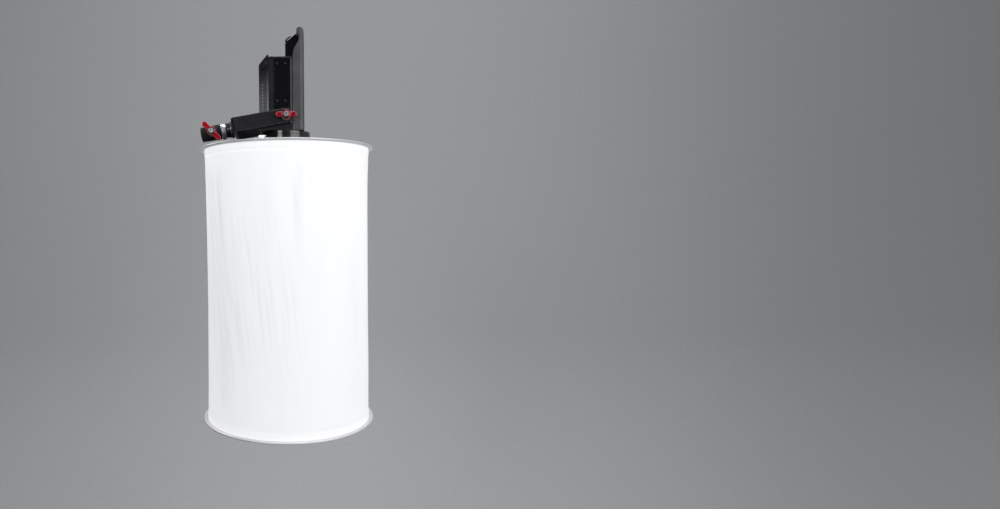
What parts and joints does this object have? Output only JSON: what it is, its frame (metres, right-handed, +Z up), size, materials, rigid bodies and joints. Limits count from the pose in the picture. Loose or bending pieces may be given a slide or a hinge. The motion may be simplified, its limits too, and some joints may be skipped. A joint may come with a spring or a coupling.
{
  "type": "space light",
  "caption": "LED lamp head in a tilting yoke on a spigot socket, with a tall collapsible lantern drum of white diffusing cloth between silver hoops.",
  "frame": {"origin": "centre of the mouth of the stand socket", "axes": "+Z up, the drum hangs down along -Z; +X from the socket towards the lamp's level side; +Y away from the knobs"},
  "size_m": [0.35, 0.35, 0.78],
  "materials": {
    "dark_cast": "satin powder coat",
    "satin_grey": "satin grey coat",
    "blue_black": "blue-black satin coat",
    "gloss_black": "gloss black",
    "perforated_steel": "dark satin coat, bright edges",
    "red_anodised": "red anodised",
    "polished": "polished",
    "raw_aluminium": "machined",
    "steel": "zinc plated",
    "black_screw": "black oxide",
    "brass": "bare",
    "fibre": "hard fibre",
    "hoop_silver": "satin silver",
    "white_silk": "diffusing cloth, lit from inside",
    "white_tape": "woven tape",
    "black_cloth": "light-proof cloth",
    "clear_glass": "clear",
    "white_ceramic": "bare",
    "phosphor": "yellow phosphor",
    "green_board": "glass-fibre board",
    "black_plastic": "matte"
  },
  "bodies": {
    "yoke": {"yoke": "dark_cast", "receiver": "dark_cast", "receiver_collar": "polished", "receiver_screw": "black_screw", "far_pivot_screw": "black_screw", "friction_washer_near": "fibre", "friction_washer_far": "fibre"},
    "clamp_shoe": {"clamp_shoe": "brass"},
    "clamp_knob": {"clamp_knob": "red_anodised", "clamp_screw": "steel"},
    "tilt_washer": {"tilt_washer": "steel"},
    "tilt_knob": {"tilt_knob": "red_anodised", "tilt_screw": "steel"},
    "lamp": {"bayonet_plate": "raw_aluminium", "bezel": "dark_cast", "chassis": "dark_cast", "cob_board": "white_ceramic", "cob_emitter": "phosphor", "cover_glass": "clear_glass", "driver_board": "green_board", "fan_frame": "black_plastic", "glass_ring": "black_plastic", "grille_screw_far": "black_screw", "grille_screw_near": "black_screw", "grille_shell": "perforated_steel", "heat_sink": "raw_aluminium", "inlet_insert": "brass", "lever_spring": "steel", "mount_neck": "gloss_black", "pivot_bush_far": "steel", "pivot_bush_near": "steel", "power_inlet": "black_plastic", "rear_cap": "satin_grey", "rear_housing": "blue_black", "rear_plate": "dark_cast", "rear_trim": "polished", "reflector": "polished", "side_panel_far": "blue_black", "side_panel_near": "blue_black", "side_silk": "white_silk", "speed_ring": "raw_aluminium", "spine_cover": "satin_grey", "spoke_1": "steel", "spoke_2": "steel", "spoke_3": "steel", "spoke_4": "steel", "spoke_screw_1": "polished", "spoke_screw_2": "polished", "spoke_screw_3": "polished", "spoke_screw_4": "polished", "top_binding": "white_tape", "top_hoop": "hoop_silver", "top_panel": "black_cloth"},
    "release": {"release_lever": "polished", "lock_pin": "steel"},
    "fan": {"fan_rotor": "black_plastic"},
    "lower_hoop": {"bottom_hoop": "hoop_silver", "bottom_binding": "white_tape", "bottom_silk": "white_silk"}
  },
  "joints": [
    {"name": "lamp_tilt", "type": "hinge", "parent": "yoke", "child": "lamp", "pos_m": [0.1726, 0, 0.02888], "axis": [0, 1, 0], "range_deg": [-55, 3]},
    {"name": "tilt_knob_travel", "type": "slide", "parent": "yoke", "child": "tilt_washer", "axis": [0, -1, 0], "range_m": [0, 0.0026]},
    {"name": "tilt_knob_turn", "type": "hinge", "parent": "tilt_washer", "child": "tilt_knob", "pos_m": [0.1726, 0, 0.02888], "axis": [0, -1, 0], "range_deg": [0, 720]},
    {"name": "clamp_travel", "type": "slide", "parent": "yoke", "child": "clamp_shoe", "axis": [0, -1, 0], "range_m": [0, 0.0026]},
    {"name": "clamp_knob_turn", "type": "hinge", "parent": "clamp_shoe", "child": "clamp_knob", "pos_m": [0.02367, 0, 0.00396], "axis": [0, -1, 0], "range_deg": [0, 720]},
    {"name": "release_slide", "type": "slide", "parent": "lamp", "child": "release", "axis": [0, 0, 1], "range_m": [0, 0.0028], "stiffness_N_per_m": 800, "springref_m": -0.0025, "deforming": ["lever_spring"]},
    {"name": "fan_spin", "type": "hinge", "parent": "lamp", "child": "fan", "pos_m": [0.152, 0, 0.11938], "axis": [0, 0, 1], "continuous": true},
    {"name": "lantern_collapse", "type": "slide", "parent": "lamp", "child": "lower_hoop", "axis": [0, 0, 1], "range_m": [0, 0.49], "deforming": ["side_silk"]}
  ],
  "couplings": [
    {"joint": "tilt_knob_travel", "follows": "tilt_knob_turn", "m_per_rad": 0.00019894},
    {"joint": "clamp_travel", "follows": "clamp_knob_turn", "m_per_rad": 0.00019894}
  ]
}
